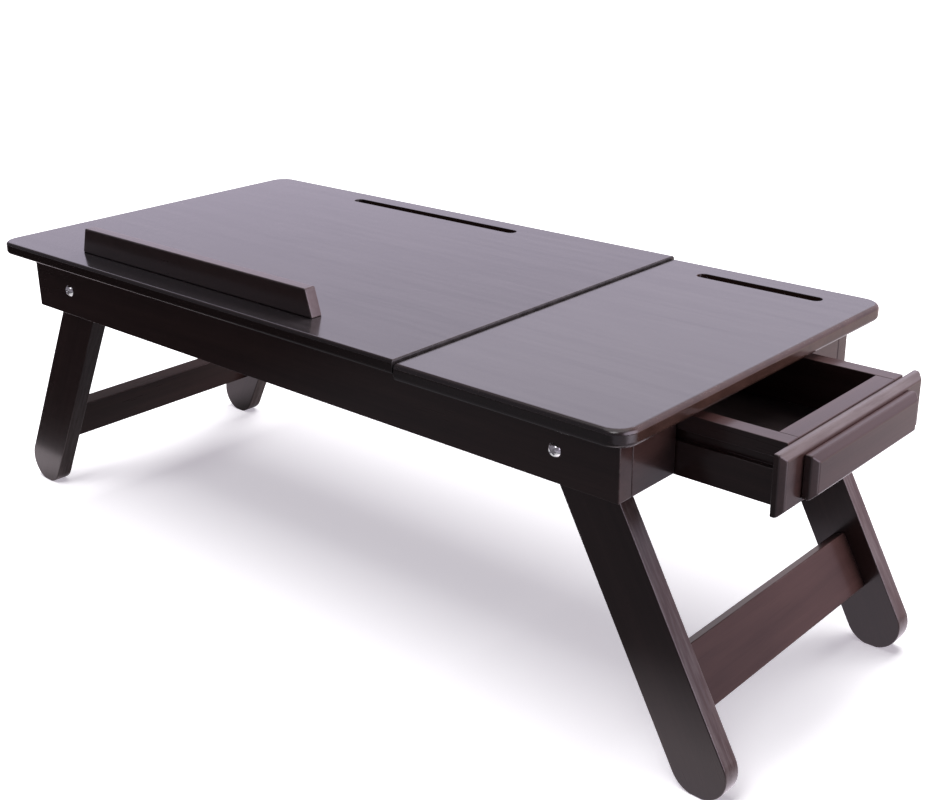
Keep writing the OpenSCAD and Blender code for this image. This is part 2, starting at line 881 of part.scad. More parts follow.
module prop_pin() {
    half = ear_x + ear_t;
    color(steel) translate([0, prop_y, prop_z]) {
        translate([-half, 0, 0]) bar_x(prop_pin_d, 2 * half);
        translate([-half - pin_head_t, 0, 0]) bar_x(pin_head_d, pin_head_t);
        translate([half, 0, 0]) bar_x(pin_head_d, pin_head_t);
    }
}

module prop_bracket_screws() {
    color(steel) at_bracket_screws()
        wood_screw(hinge_screw_d, hinge_screw_head_d, hinge_screw_head_h, hinge_screw_l);
}

module prop_stick() {
    color(wood_lit) difference() {
        along_x(prop_w) round_bar([prop_y, prop_z], foot_line(2 * prop_l, 0), prop_t);
        translate([-prop_w, prop_y, prop_z]) bar_x(prop_pin_d + 2 * fit_gap, 2 * prop_w);
    }
}

// Drawer

module drawer_dowel_set(d, slack) {
    ends = [box_x0 + drawer_wall / 2, box_x1 - drawer_box_front_t / 2];
    for (x = ends, z = drawer_dowel_zs, side = [-1, 1])
        translate([x, drawer_y + side * inner_w / 2, z]) at_depth(side)
            translate([0, -drawer_dowel_reach - slack, 0])
                bar_y(d, drawer_dowel_reach + drawer_dowel_seat + 2 * slack);
}

module drawer_dowel_bores() {
    drawer_dowel_set(drawer_dowel_d + 2 * fit_gap, bore_gap);
}

// Groove for the bottom sheet, round the inside of the box
module sheet_groove() {
    block([box_x0 + drawer_wall - sheet_seat, drawer_y - inner_w / 2 - sheet_seat, box_z0 + sheet_up],
          [box_x1 - drawer_box_front_t + sheet_seat, drawer_y + inner_w / 2 + sheet_seat,
           box_z0 + sheet_up + drawer_sheet_t]);
}

module drawer_side(side) {
    color(wood) difference() {
        translate([0, drawer_y, 0]) at_depth(side) difference() {
            block([box_x0, inner_w / 2, box_z0], [box_x1, drawer_w / 2, box_z1]);
            block([box_x0 - 1, drawer_w / 2 - groove_depth, runner_z - groove_h / 2],
                  [box_x1 + 1, drawer_w / 2 + 1, runner_z + groove_h / 2]);
        }
        sheet_groove();
        drawer_dowel_bores();
    }
}

module drawer_side_front() {
    drawer_side(-1);
}

module drawer_side_rear() {
    drawer_side(1);
}

module drawer_cross_board(x0, x1) {
    color(wood) difference() {
        block([x0, drawer_y - inner_w / 2, box_z0], [x1, drawer_y + inner_w / 2, box_z1]);
        sheet_groove();
        drawer_dowel_bores();
        face_screw_bores();
    }
}

module drawer_box_front() {
    drawer_cross_board(box_x1 - drawer_box_front_t, box_x1);
}

module drawer_back() {
    drawer_cross_board(box_x0, box_x0 + drawer_wall);
}

module drawer_bottom() {
    color(wood) block(
        [box_x0 + drawer_wall - sheet_seat + sheet_slack,
         drawer_y - inner_w / 2 - sheet_seat + sheet_slack, box_z0 + sheet_up],
        [box_x1 - drawer_box_front_t + sheet_seat - sheet_slack,
         drawer_y + inner_w / 2 + sheet_seat - sheet_slack, box_z0 + sheet_up + drawer_sheet_t]);
}

// Screws through a board from its hidden side, at a place along X and a distance from the middle
module at_board_screws(x, y) {
    for (side = [-1, 1]) translate([x, drawer_y + side * y, box_mid_z]) rotate([0, 90, 0]) children();
}

module face_screw_bores() {
    at_board_screws(box_x1 - drawer_box_front_t, face_screw_y)
        screw_bore(screw_d, screw_head_d, screw_head_h, drawer_box_front_t + board_screw_bite, 1);
}

module pull_screw_bores() {
    at_board_screws(box_x1, pull_screw_y)
        screw_bore(screw_d, screw_head_d, screw_head_h, face_t + board_screw_bite, 0);
}

module drawer_face() {
    color(wood_lit) difference() {
        translate([box_x1, drawer_y, box_mid_z])
            bevelled_plate(drawer_w + 2 * face_overlap, face_h, face_t, face_bevel);
        face_screw_bores();
        pull_screw_bores();
    }
}

module drawer_pull() {
    color(wood_lit) difference() {
        translate([face_x, drawer_y, box_mid_z]) bevelled_plate(pull_l, pull_h, pull_t, pull_bevel);
        pull_screw_bores();
    }
}

module drawer_dowels() {
    color(wood_raw) drawer_dowel_set(drawer_dowel_d, 0);
}

module face_screws() {
    color(steel) at_board_screws(box_x1 - drawer_box_front_t, face_screw_y)
        wood_screw(screw_d, screw_head_d, screw_head_h, drawer_box_front_t + board_screw_bite);
}

module pull_screws() {
    color(steel) at_board_screws(box_x1, pull_screw_y)
        wood_screw(screw_d, screw_head_d, screw_head_h, face_t + board_screw_bite);
}

on_desk() front_apron();
on_desk() rear_apron();
on_desk() left_end_rail();
on_desk() right_end_rail_front();
on_desk() right_end_rail_rear();
on_desk() centre_rail();
on_desk() prop_rack();
on_desk() divider();
on_desk() guide_rail_front();
on_desk() guide_rail_rear();
on_desk() runner_front();
on_desk() runner_rear();
on_desk() right_panel();
on_desk() frame_dowels();
on_desk() panel_dowels();
on_desk() guide_screws();
on_desk() pivot_bolts();
on_desk() pivot_washers();
on_desk() pivot_nuts();
on_desk() hinge_frame_leaves();
on_desk() hinge_pins();
on_desk() hinge_frame_screws();
on_desk() rest_pads();
on_desk() left_front_leg();
on_desk() left_rear_leg();
on_desk() left_stretcher();
on_desk() left_stretcher_dowels();
on_desk() right_front_leg();
on_desk() right_rear_leg();
on_desk() right_stretcher();
on_desk() right_stretcher_dowels();
on_desk() left_panel();
on_desk() ledge();
on_desk() ledge_screws();
on_desk() hinge_panel_leaves();
on_desk() hinge_panel_screws();
on_desk() prop_bracket();
on_desk() prop_pin();
on_desk() prop_bracket_screws();
on_desk() prop_stick();
on_desk() drawer_side_front();
on_desk() drawer_side_rear();
on_desk() drawer_box_front();
on_desk() drawer_back();
on_desk() drawer_bottom();
on_desk() drawer_face();
on_desk() drawer_pull();
on_desk() drawer_dowels();
on_desk() face_screws();
on_desk() pull_screws();
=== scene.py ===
import math

import bpy
from mathutils import Matrix, Vector

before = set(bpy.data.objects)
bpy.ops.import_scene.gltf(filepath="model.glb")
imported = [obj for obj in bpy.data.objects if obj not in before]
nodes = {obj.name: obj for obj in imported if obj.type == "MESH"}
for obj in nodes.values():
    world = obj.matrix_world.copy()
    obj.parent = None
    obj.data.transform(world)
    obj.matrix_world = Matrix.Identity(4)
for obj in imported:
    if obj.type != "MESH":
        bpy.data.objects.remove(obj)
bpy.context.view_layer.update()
scene = bpy.context.scene
scene.view_settings.view_transform = "Standard"

# Camera: fitted to the desk's corners in a frame of 925 by 800 pixels
IMAGE_W = 925
FOCAL_PX = 1368.91
SENSOR_MM = 36.0
CLIP_NEAR = 0.01
CLIP_FAR = 100
CAMERA_AT = Vector((0.66468, -0.67561, 0.49936))
CAMERA_YAW = math.radians(-42.407)
CAMERA_PITCH = math.radians(21.500)
CAMERA_ROLL = math.radians(0.947)


def make_camera():
    forward = Vector((
        math.sin(CAMERA_YAW) * math.cos(CAMERA_PITCH),
        math.cos(CAMERA_YAW) * math.cos(CAMERA_PITCH),
        -math.sin(CAMERA_PITCH),
    ))
    level_right = Vector((math.cos(CAMERA_YAW), -math.sin(CAMERA_YAW), 0))
    level_down = forward.cross(level_right)
    right = math.cos(CAMERA_ROLL) * level_right + math.sin(CAMERA_ROLL) * level_down
    down = math.cos(CAMERA_ROLL) * level_down - math.sin(CAMERA_ROLL) * level_right
    data = bpy.data.cameras.new("camera")
    data.sensor_fit = "HORIZONTAL"
    data.sensor_width = SENSOR_MM
    data.lens = SENSOR_MM * FOCAL_PX / IMAGE_W
    data.clip_start = CLIP_NEAR
    data.clip_end = CLIP_FAR
    camera = bpy.data.objects.new("camera", data)
    turn = Matrix((right, -down, -forward)).transposed().to_4x4()
    camera.matrix_world = Matrix.Translation(CAMERA_AT) @ turn
    scene.collection.objects.link(camera)
    scene.camera = camera


# Shader helpers


def shader_node(tree, kind, inputs=None, **settings):
    """Adds a node; an input is a socket to link from, or a constant."""
    made = tree.nodes.new(kind)
    for name, value in settings.items():
        setattr(made, name, value)
    for name, value in (inputs or {}).items():
        if isinstance(value, bpy.types.NodeSocket):
            tree.links.new(value, made.inputs[name])
        else:
            made.inputs[name].default_value = value
    return made


def new_material(name):
    """An empty node material and its tree."""
    material = bpy.data.materials.new(name)
    material.use_nodes = True
    material.node_tree.nodes.clear()
    return material, material.node_tree


def finish_material(tree, shader):
    output = shader_node(tree, "ShaderNodeOutputMaterial")
    tree.links.new(shader, output.inputs["Surface"])


def noise(tree, vector, scale=1.0, detail=4.0, roughness=0.55, distortion=0.0):
    made = shader_node(tree, "ShaderNodeTexNoise", {
        "Vector": vector, "Scale": scale, "Detail": detail,
        "Roughness": roughness, "Distortion": distortion,
    })
    return made.outputs["Fac"]


def math_node(tree, operation, a, b=0.0, clamp=False):
    made = shader_node(tree, "ShaderNodeMath", {0: a, 1: b}, operation=operation, use_clamp=clamp)
    return made.outputs[0]


def remap(tree, value, from_low, from_high, to_low=0.0, to_high=1.0):
    made = shader_node(tree, "ShaderNodeMapRange", {
        "Value": value, "From Min": from_low, "From Max": from_high,
        "To Min": to_low, "To Max": to_high,
    })
    return made.outputs["Result"]


def mix_colour(tree, factor, first, second, blend="MIX"):
    made = shader_node(tree, "ShaderNodeMix", {0: factor, 6: first, 7: second},
                       data_type="RGBA", blend_type=blend)
    return made.outputs[2]


def object_coordinates(tree, rotation=(0, 0, 0), scale=(1, 1, 1)):
    coords = shader_node(tree, "ShaderNodeTexCoord").outputs["Object"]
    made = shader_node(tree, "ShaderNodeMapping", {
        "Vector": coords, "Rotation": rotation, "Scale": scale,
    })
    return made.outputs["Vector"]


def surface_direction(tree):
    """The surface's direction, as its parts along X, Y and Z."""
    normal = shader_node(tree, "ShaderNodeTexCoord").outputs["Normal"]
    return shader_node(tree, "ShaderNodeSeparateXYZ", {"Vector": normal}).outputs


def stretched(tree, vector, along, across):
    """Coordinates drawn out along the first axis, for grain."""
    made = shader_node(tree, "ShaderNodeMapping", {"Vector": vector, "Scale": (along, across, across)})
    return made.outputs["Vector"]


def bump(tree, height, distance, strength=1.0):
    made = shader_node(tree, "ShaderNodeBump", {
        "Height": height, "Distance": distance, "Strength": strength,
    })
    return made.outputs["Normal"]


def colour(red, green, blue):
    return (red, green, blue, 1.0)


# Noise values between which most of a noise lies
MIDDLE = (0.3, 0.7)

# Wood stains, some with painted shade, and the pale tone of rubbed wood, which also serves as painted sheen
WOOD_DARK = colour(0.026, 0.012, 0.012)
WOOD_LIGHT = colour(0.054, 0.027, 0.026)
LEFT_TOP_DARK = colour(0.008, 0.006, 0.007)
LEFT_TOP_LIGHT = colour(0.040, 0.034, 0.038)
RIGHT_TOP_DARK = colour(0.027, 0.023, 0.026)
RIGHT_TOP_LIGHT = colour(0.052, 0.046, 0.050)
RIM_DARK = colour(0.030, 0.014, 0.012)
RIM_LIGHT = colour(0.062, 0.032, 0.028)
# Painted shade that darkens the front of a panel's rim
RIM_FRONT_PAINTED_SHADE = colour(0.40, 0.44, 0.50)
# Stain of the drawer bottom, darkened as painted shade inside the drawer
SHADED_SHEET_DARK = colour(0.018, 0.013, 0.014)
SHADED_SHEET_LIGHT = colour(0.034, 0.026, 0.027)
# Pale tone of rubbed wood, which on the drawer face's up-facing edge is also painted sheen
WORN_AND_SHEEN = colour(0.30, 0.26, 0.28)

# Wood figure: streaks as counts a metre along and across the grain, and spots as counts a metre
FRAME_STREAKS = (3, 60)
TOP_STREAKS = (10, 170)
PORE_STREAKS = (30, 900)
SCUFF_STREAKS = (35, 300)
BLOTCHES = 9.0
PEEL = 260.0

# Noise values from which pores darken and blotches lighten the stain, and by how much
PORE_TURN = (0.55, 0.75)
PORE_SHARE = 0.5
BLOTCH_TURN = (0.35, 0.75)
BLOTCH_SHARE = 0.35

# Noise values from which scuffs rub the wood and, on a top, also paint sheen, and parts of the surface's
# direction that make a side or a top
EDGE_SCUFFS = (0.45, 0.75)
SIDE_SCUFFS = (0.40, 0.75)
TOP_SCUFFS_AND_SHEEN = (0.0, 1.0)
SIDE_TURN = (0.5, 0.8)
TOP_SHEEN_TURN = (0.3, 0.6)

# Upward part of the surface's direction from which a panel's rim starts, its part toward the seam, and its
# part toward the front from which painted shade darkens the rim
RIM_TURN = (0.95, 0.99)
SEAM_TURN = (0.30, 0.60)
FRONT_SHADE_TURN = (-0.35, -0.10)

# Lacquer: roughness, what pores and blotches change in it, and the depth of its relief in metres
FRAME_ROUGH = 0.30
FRAME_COAT_ROUGH = 0.16
TOP_ROUGH = 0.20
TOP_COAT_ROUGH = 0.11
TOP_GRAIN = 0.3
PORE_ROUGH = 0.02
BLOTCH_SMOOTHER = 0.02
BLOTCH_ROUGHER = 0.03
PORE_RELIEF = 0.35
PEEL_RELIEF = 0.65
WOOD_RELIEF_DEPTH = 0.00002
COAT_RELIEF_DEPTH = 0.000008

# Lacquer: refraction, and the weight of its clear coat where that is thin
COAT_IOR = 1.45
FRAME_IOR = 1.25
LEDGE_IOR = 1.5
LEFT_TOP_IOR = 1.45
RIGHT_TOP_IOR = 1.62
STRETCHER_COAT = 0.3
RIM_COAT = 0.15

# Wear of the arrises and of the legs' and the ledge's sides, and wear with painted sheen on the drawer face's
# upper edge
EDGE_WEAR = 0.12
LEG_SIDE_WEAR = 0.23
LEDGE_SIDE_WEAR = 0.06
FACE_TOP_WEAR_AND_SHEEN = 0.45


def stained(tree, grain_space, streaks, dark, light):
    """Colour of stained wood, and the pores and blotches that its shine follows."""
    figure = noise(tree, stretched(tree, grain_space, *streaks), detail=5.0, roughness=0.6, distortion=0.4)
    pores = noise(tree, stretched(tree, grain_space, *PORE_STREAKS), detail=3.0, roughness=0.6)
    blotch = noise(tree, grain_space, BLOTCHES, detail=3.0)
    stain = mix_colour(tree, remap(tree, figure, *MIDDLE), dark, light)
    stain = mix_colour(tree, remap(tree, pores, *PORE_TURN, 0.0, PORE_SHARE), stain, dark)
    stain = mix_colour(tree, remap(tree, blotch, *BLOTCH_TURN, 0.0, BLOTCH_SHARE), stain, light)
    return stain, pores, blotch


def rim_stained(tree, stain, grain_space, facing, seam_way):
    """Stains a panel's rim brown where it doesn't face the seam, and darker in front with painted shade."""
    rim_stain = stained(tree, grain_space, FRAME_STREAKS, RIM_DARK, RIM_LIGHT)[0]
    # Painted shade: the rim darkens where it faces the front.
    front_shade = remap(tree, facing["Y"], *FRONT_SHADE_TURN, 1.0, 0.0)
    rim_stain = mix_colour(tree, front_shade, rim_stain, RIM_FRONT_PAINTED_SHADE, "MULTIPLY")
    on_rim = remap(tree, facing["Z"], *RIM_TURN, 1.0, 0.0)
    toward_seam = math_node(tree, "MULTIPLY", facing["X"], seam_way)
    outer = remap(tree, toward_seam, *SEAM_TURN, 1.0, 0.0)
    return mix_colour(tree, math_node(tree, "MULTIPLY", on_rim, outer), stain, rim_stain)


def lacquer(name, rotation, dark, light, ior, rough, coat_rough, grain=1.0, coat=1.0,
            wear=0.0, side_wear=0.0, top_wear=0.0, streaks=FRAME_STREAKS, seam_way=0):
    """Dark stained wood under clear lacquer, with its grain along the first turned axis.

    Wear rubs it pale in streaks, all over or only on the sides that face along X or upward; where they face
    upward the pale tone is also painted sheen.
    A panel's rim has its own stain, darker in front with painted shade, and thinner lacquer;
    seam_way is 1 or -1 for a panel with its seam toward +X or -X.
    """
    material, tree = new_material(name)
    grain_space = object_coordinates(tree, rotation)
    stain, pores, blotch = stained(tree, grain_space, streaks, dark, light)
    peel = noise(tree, grain_space, PEEL, detail=2.0)
    scuffs = noise(tree, stretched(tree, grain_space, *SCUFF_STREAKS), roughness=0.6)
    facing = surface_direction(tree)
    if wear > 0:
        stain = mix_colour(tree, remap(tree, scuffs, *EDGE_SCUFFS, 0.0, wear), stain, WORN_AND_SHEEN)
    if side_wear > 0:
        on_side = remap(tree, math_node(tree, "ABSOLUTE", facing["X"]), *SIDE_TURN)
        rubbed = math_node(tree, "MULTIPLY", on_side, remap(tree, scuffs, *SIDE_SCUFFS, 0.0, side_wear))
        stain = mix_colour(tree, rubbed, stain, WORN_AND_SHEEN)
    # On faces that look upward the pale tone is wear and painted sheen.
    if top_wear > 0:
        on_top = remap(tree, facing["Z"], *TOP_SHEEN_TURN)
        rubbed = math_node(tree, "MULTIPLY", on_top, remap(tree, scuffs, *TOP_SCUFFS_AND_SHEEN, 0.0, top_wear))
        stain = mix_colour(tree, rubbed, stain, WORN_AND_SHEEN)
    if seam_way:
        stain = rim_stained(tree, stain, grain_space, facing, seam_way)
        coat = remap(tree, facing["Z"], *RIM_TURN, RIM_COAT, coat)
    pore_rough = remap(tree, pores, *MIDDLE, -PORE_ROUGH * grain, PORE_ROUGH * grain)
    blotch_rough = remap(tree, blotch, *MIDDLE, rough - BLOTCH_SMOOTHER, rough + BLOTCH_ROUGHER)
    relief = math_node(tree, "ADD", math_node(tree, "MULTIPLY", pores, PORE_RELIEF * grain),
                       math_node(tree, "MULTIPLY", peel, PEEL_RELIEF))
    shader = shader_node(tree, "ShaderNodeBsdfPrincipled", {
        "Base Color": stain, "IOR": ior,
        "Roughness": math_node(tree, "ADD", pore_rough, blotch_rough),
        "Coat Weight": coat, "Coat Roughness": coat_rough, "Coat IOR": COAT_IOR,
        "Normal": bump(tree, relief, WOOD_RELIEF_DEPTH),
        "Coat Normal": bump(tree, peel, COAT_RELIEF_DEPTH),
    })
    finish_material(tree, shader.outputs["BSDF"])
    return material


# Metal: tints and roughness, scratches as counts a metre along and across, and duller patches
CHROME_TINT = colour(0.80, 0.80, 0.82)
CHROME_ROUGH = 0.06
CHROME_SCRATCH = 0.04
STEEL_TINT = colour(0.62, 0.62, 0.63)
STEEL_ROUGH = 0.26
BRASS_TINT = colour(0.66, 0.48, 0.22)
BRASS_ROUGH = 0.24
METAL_SCRATCH = 0.06
SCRATCH_STREAKS = (120, 2600)
SCRATCH_DEPTH = 0.000006
PATCHES = 160.0
PATCH_TURN = (0.4, 0.75)
PATCH_SHARE = 0.6
PATCH_TONE = 0.72
PATCH_ROUGHER = 0.08


def plain_metal(name, tint, rough, scratch=METAL_SCRATCH):
    """Bare or plated metal with fine scratches and a patchy shine."""
    material, tree = new_material(name)
    space = object_coordinates(tree)
    scratches = noise(tree, stretched(tree, space, *SCRATCH_STREAKS), detail=3.0)
    patches = noise(tree, space, PATCHES, detail=3.0)
    dull = colour(*(PATCH_TONE * part for part in tint[:3]))
    shade = mix_colour(tree, remap(tree, patches, *PATCH_TURN, 0.0, PATCH_SHARE), tint, dull)
    shine = math_node(tree, "ADD", remap(tree, scratches, *MIDDLE, 0.0, scratch),
                      remap(tree, patches, *MIDDLE, rough, rough + PATCH_ROUGHER))
    shader = shader_node(tree, "ShaderNodeBsdfPrincipled", {
        "Base Color": shade, "Metallic": 1.0, "Roughness": shine,
        "Normal": bump(tree, scratches, SCRATCH_DEPTH),
    })
    finish_material(tree, shader.outputs["BSDF"])
    return material


# Bare wood: tones, streaks as counts a metre along and across the grain, and pores
BARE_DARK = colour(0.42, 0.27, 0.15)
BARE_LIGHT = colour(0.60, 0.43, 0.27)
BARE_PORE = colour(0.30, 0.18, 0.10)
BARE_STREAKS = (8, 140)
BARE_PORE_STREAKS = (60, 1500)
BARE_PORE_SHARE = 0.4
BARE_PORE_DEPTH = 0.00006
BARE_ROUGH = (0.55, 0.75)


def bare_wood(name):
    """Unfinished pale hardwood."""
    material, tree = new_material(name)
    space = object_coordinates(tree)
    figure = noise(tree, stretched(tree, space, *BARE_STREAKS), detail=5.0, roughness=0.6, distortion=0.5)
    pores = noise(tree, stretched(tree, space, *BARE_PORE_STREAKS), detail=3.0)
    tone = mix_colour(tree, remap(tree, figure, *MIDDLE), BARE_DARK, BARE_LIGHT)
    tone = mix_colour(tree, remap(tree, pores, *PORE_TURN, 0.0, BARE_PORE_SHARE), tone, BARE_PORE)
    shader = shader_node(tree, "ShaderNodeBsdfPrincipled", {
        "Base Color": tone, "Roughness": remap(tree, pores, *MIDDLE, *BARE_ROUGH),
        "Normal": bump(tree, pores, BARE_PORE_DEPTH),
    })
    finish_material(tree, shader.outputs["BSDF"])
    return material


# Felt: tones, and fibres and clumps as counts a metre
FELT_DARK = colour(0.012, 0.012, 0.012)
FELT_LIGHT = colour(0.035, 0.033, 0.032)
FELT_FIBRES = 2200.0
FELT_CLUMPS = 500.0
FELT_ROUGH = (0.85, 1.0)
FELT_SHEEN = 0.5
FELT_SHEEN_ROUGH = 0.5
FELT_DEPTH = 0.0003


def felt(name):
    """Short dense felt."""
    material, tree = new_material(name)
    space = object_coordinates(tree)
    fibres = noise(tree, space, FELT_FIBRES, roughness=0.7)
    clumps = noise(tree, space, FELT_CLUMPS, detail=3.0)
    tone = mix_colour(tree, remap(tree, clumps, *MIDDLE), FELT_DARK, FELT_LIGHT)
    shader = shader_node(tree, "ShaderNodeBsdfPrincipled", {
        "Base Color": tone, "Roughness": remap(tree, fibres, *MIDDLE, *FELT_ROUGH),
        "Sheen Weight": FELT_SHEEN, "Sheen Roughness": FELT_SHEEN_ROUGH,
        "Normal": bump(tree, fibres, FELT_DEPTH),
    })
    finish_material(tree, shader.outputs["BSDF"])
    return material


# Grain directions, as turns that bring the grain onto the first axis; the legs' grain follows their splay
LEG_SPLAY = math.radians(28.3)
GRAIN_X = (0, 0, 0)
GRAIN_Y = (0, 0, -math.pi / 2)
GRAIN_LEFT_LEG = (0, math.pi / 2 - LEG_SPLAY, 0)
GRAIN_RIGHT_LEG = (0, LEG_SPLAY - math.pi / 2, 0)

# Wood nodes by the way their grain runs
FRAME_BOARDS = {
    GRAIN_X: ["front_apron", "rear_apron", "guide_rail_front", "guide_rail_rear"],
    GRAIN_Y: ["left_end_rail", "right_end_rail_front", "right_end_rail_rear", "centre_rail",
              "prop_rack", "divider", "prop_stick"],
}
STRETCHERS = {GRAIN_Y: ["left_stretcher", "right_stretcher"]}
LEDGE = {GRAIN_X: ["ledge"]}
LEGS = {
    GRAIN_LEFT_LEG: ["left_front_leg", "left_rear_leg"],
    GRAIN_RIGHT_LEG: ["right_front_leg", "right_rear_leg"],
}
DRAWER_BOX = {
    GRAIN_X: ["drawer_side_front", "drawer_side_rear"],
    GRAIN_Y: ["drawer_box_front", "drawer_back"],
}

# Other nodes: the drawer's front boards with their top wear and painted sheen, the panels with their stains,
# refraction and way to the seam, and the nodes of one finish
DRAWER_FRONT = {"drawer_face": FACE_TOP_WEAR_AND_SHEEN, "drawer_pull": 0.0}
PANELS = {
    "left_panel": (LEFT_TOP_DARK, LEFT_TOP_LIGHT, LEFT_TOP_IOR, 1),
    "right_panel": (RIGHT_TOP_DARK, RIGHT_TOP_LIGHT, RIGHT_TOP_IOR, -1),
}
DRAWER_SHEET = ["drawer_bottom"]
BARE_NODES = ["runner_front", "runner_rear", "frame_dowels", "panel_dowels", "left_stretcher_dowels",
              "right_stretcher_dowels", "drawer_dowels"]
STEEL_NODES = ["pivot_washers", "pivot_nuts", "hinge_pins", "guide_screws", "prop_bracket", "prop_pin",
               "prop_bracket_screws", "ledge_screws", "face_screws", "pull_screws"]
BRASS_NODES = ["hinge_frame_leaves", "hinge_frame_screws", "hinge_panel_leaves", "hinge_panel_screws"]
CHROME_NODES = ["pivot_bolts"]
FELT_NODES = ["rest_pads"]

# Rounding of the arrises: widths and segments, the angle from which an edge is rounded, the angle within
# which faces are one flat face, and the distance within which points are one
BOARD_ARRIS = 0.0009
DRAWER_BOX_ARRIS = 0.0005
DRAWER_FRONT_ARRIS = 0.0009
PANEL_ARRIS = 0.0004
ARRIS_SEGMENTS = 3
DRAWER_FRONT_SEGMENTS = 4
ARRIS_FROM = math.radians(35)
FLAT_WITHIN = math.radians(1)
WELD_WITHIN = 0.00001


def dress(names, *materials):
    for name in names:
        slots = nodes[name].data.materials
        slots.clear()
        for material in materials:
            slots.append(material)


def soften(names, width, segments=ARRIS_SEGMENTS):
    """Rounds the arrises of nodes; the rounded faces take a node's second finish."""
    for name in names:
        piece = nodes[name]
        weld = piece.modifiers.new("weld", "WELD")
        weld.merge_threshold = WELD_WITHIN
        flat = piece.modifiers.new("flat_faces", "DECIMATE")
        flat.decimate_type = "DISSOLVE"
        flat.angle_limit = FLAT_WITHIN
        arris = piece.modifiers.new("arris", "BEVEL")
        arris.width = width
        arris.segments = segments
        arris.limit_method = "ANGLE"
        arris.angle_limit = ARRIS_FROM
        arris.use_clamp_overlap = False
        arris.material = 1
        shade = piece.modifiers.new("shade", "WEIGHTED_NORMAL")
        shade.keep_sharp = False


def frame_lacquer(name, rotation, ior=FRAME_IOR, **options):
    return lacquer(name, rotation, WOOD_DARK, WOOD_LIGHT, ior, FRAME_ROUGH, FRAME_COAT_ROUGH, **options)


def finish_boards(label, boards, arris=BOARD_ARRIS, **options):
    """Lacquers boards by the way their grain runs, and rubs their rounded arrises."""
    for number, (rotation, names) in enumerate(boards.items()):
        face = frame_lacquer(f"{label}_lacquer_{number}", rotation, **options)
        edge = frame_lacquer(f"{label}_edge_{number}", rotation, wear=EDGE_WEAR, **options)
        dress(names, face, edge)
        soften(names, arris)


def finish_drawer():
    finish_boards("drawer_box", DRAWER_BOX, arris=DRAWER_BOX_ARRIS)
    # The drawer face's upper edge gets wear and painted sheen.
    for name, top_wear in DRAWER_FRONT.items():
        front = frame_lacquer(name + "_lacquer", GRAIN_Y, top_wear=top_wear)
        dress([name], front, front)
    soften(DRAWER_FRONT, DRAWER_FRONT_ARRIS, DRAWER_FRONT_SEGMENTS)
    # The drawer bottom's dark stain is partly painted shade inside the drawer.
    sheet = lacquer("drawer_sheet_painted_shade", GRAIN_X, SHADED_SHEET_DARK, SHADED_SHEET_LIGHT,
                    FRAME_IOR, FRAME_ROUGH, FRAME_COAT_ROUGH)
    dress(DRAWER_SHEET, sheet)


def finish_panels():
    for name, (dark, light, ior, seam_way) in PANELS.items():
        top = lacquer(name + "_lacquer", GRAIN_X, dark, light, ior, TOP_ROUGH, TOP_COAT_ROUGH,
                      grain=TOP_GRAIN, streaks=TOP_STREAKS, seam_way=seam_way)
        dress([name], top, top)
    soften(PANELS, PANEL_ARRIS)


def finish_wood():
    finish_boards("frame", FRAME_BOARDS)
    finish_boards("stretcher", STRETCHERS, coat=STRETCHER_COAT)
    finish_boards("leg", LEGS, side_wear=LEG_SIDE_WEAR)
    finish_boards("ledge", LEDGE, ior=LEDGE_IOR, side_wear=LEDGE_SIDE_WEAR)
    finish_drawer()
    finish_panels()
    dress(BARE_NODES, bare_wood("bare_wood"))


def finish_fittings():
    dress(CHROME_NODES, plain_metal("chrome", CHROME_TINT, CHROME_ROUGH, CHROME_SCRATCH))
    dress(STEEL_NODES, plain_metal("steel", STEEL_TINT, STEEL_ROUGH))
    dress(BRASS_NODES, plain_metal("brass", BRASS_TINT, BRASS_ROUGH))
    dress(FELT_NODES, felt("felt"))


# Studio

WHITE = colour(1, 1, 1)
AMBIENT = colour(0.12, 0.12, 0.12)

# Sky that the lacquer and the metal mirror: the studio's far side low down and higher up, its bright ceiling
# and its dark near side, which leans over the desk higher up; ranges are parts of the direction along Z or Y
SKY_LOW = colour(0.69, 0.625, 0.77)
SKY_HIGH = colour(0.875, 0.81, 0.96)
SKY_CEILING = colour(1.2, 1.15, 1.2)
SKY_FRONT = colour(0.22, 0.20, 0.23)
SKY_STEP = (0.28, 0.36)
SKY_SIDES = (0.05, 0.45)
SKY_LEAN_FROM = (0.42, 0.72)
SKY_LEAN = 0.35
SKY_CEILING_FROM = (0.78, 0.88)

# Lamp in front and window on the right that are mirrored too: direction, cosines at the soft edge, and glow
SKY_LAMPS = [
    ((0.20, -0.60, 0.775), (0.965, 0.985), colour(4.0, 3.9, 4.0)),
    ((0.95, 0.12, 0.28), (0.80, 0.94), colour(3.4, 3.0, 3.6)),
]

# Floor as it is seen: it is white from some way off
FLOOR_HALF = 6.0
FLOOR_ALBEDO = colour(0.95, 0.95, 0.95)
FLOOR_BOUNCE = colour(0.12, 0.12, 0.12)
FLOOR_GLOW = colour(0.405, 0.38, 0.425)
FLOOR_WHITE_FROM = (0.50, 1.00)

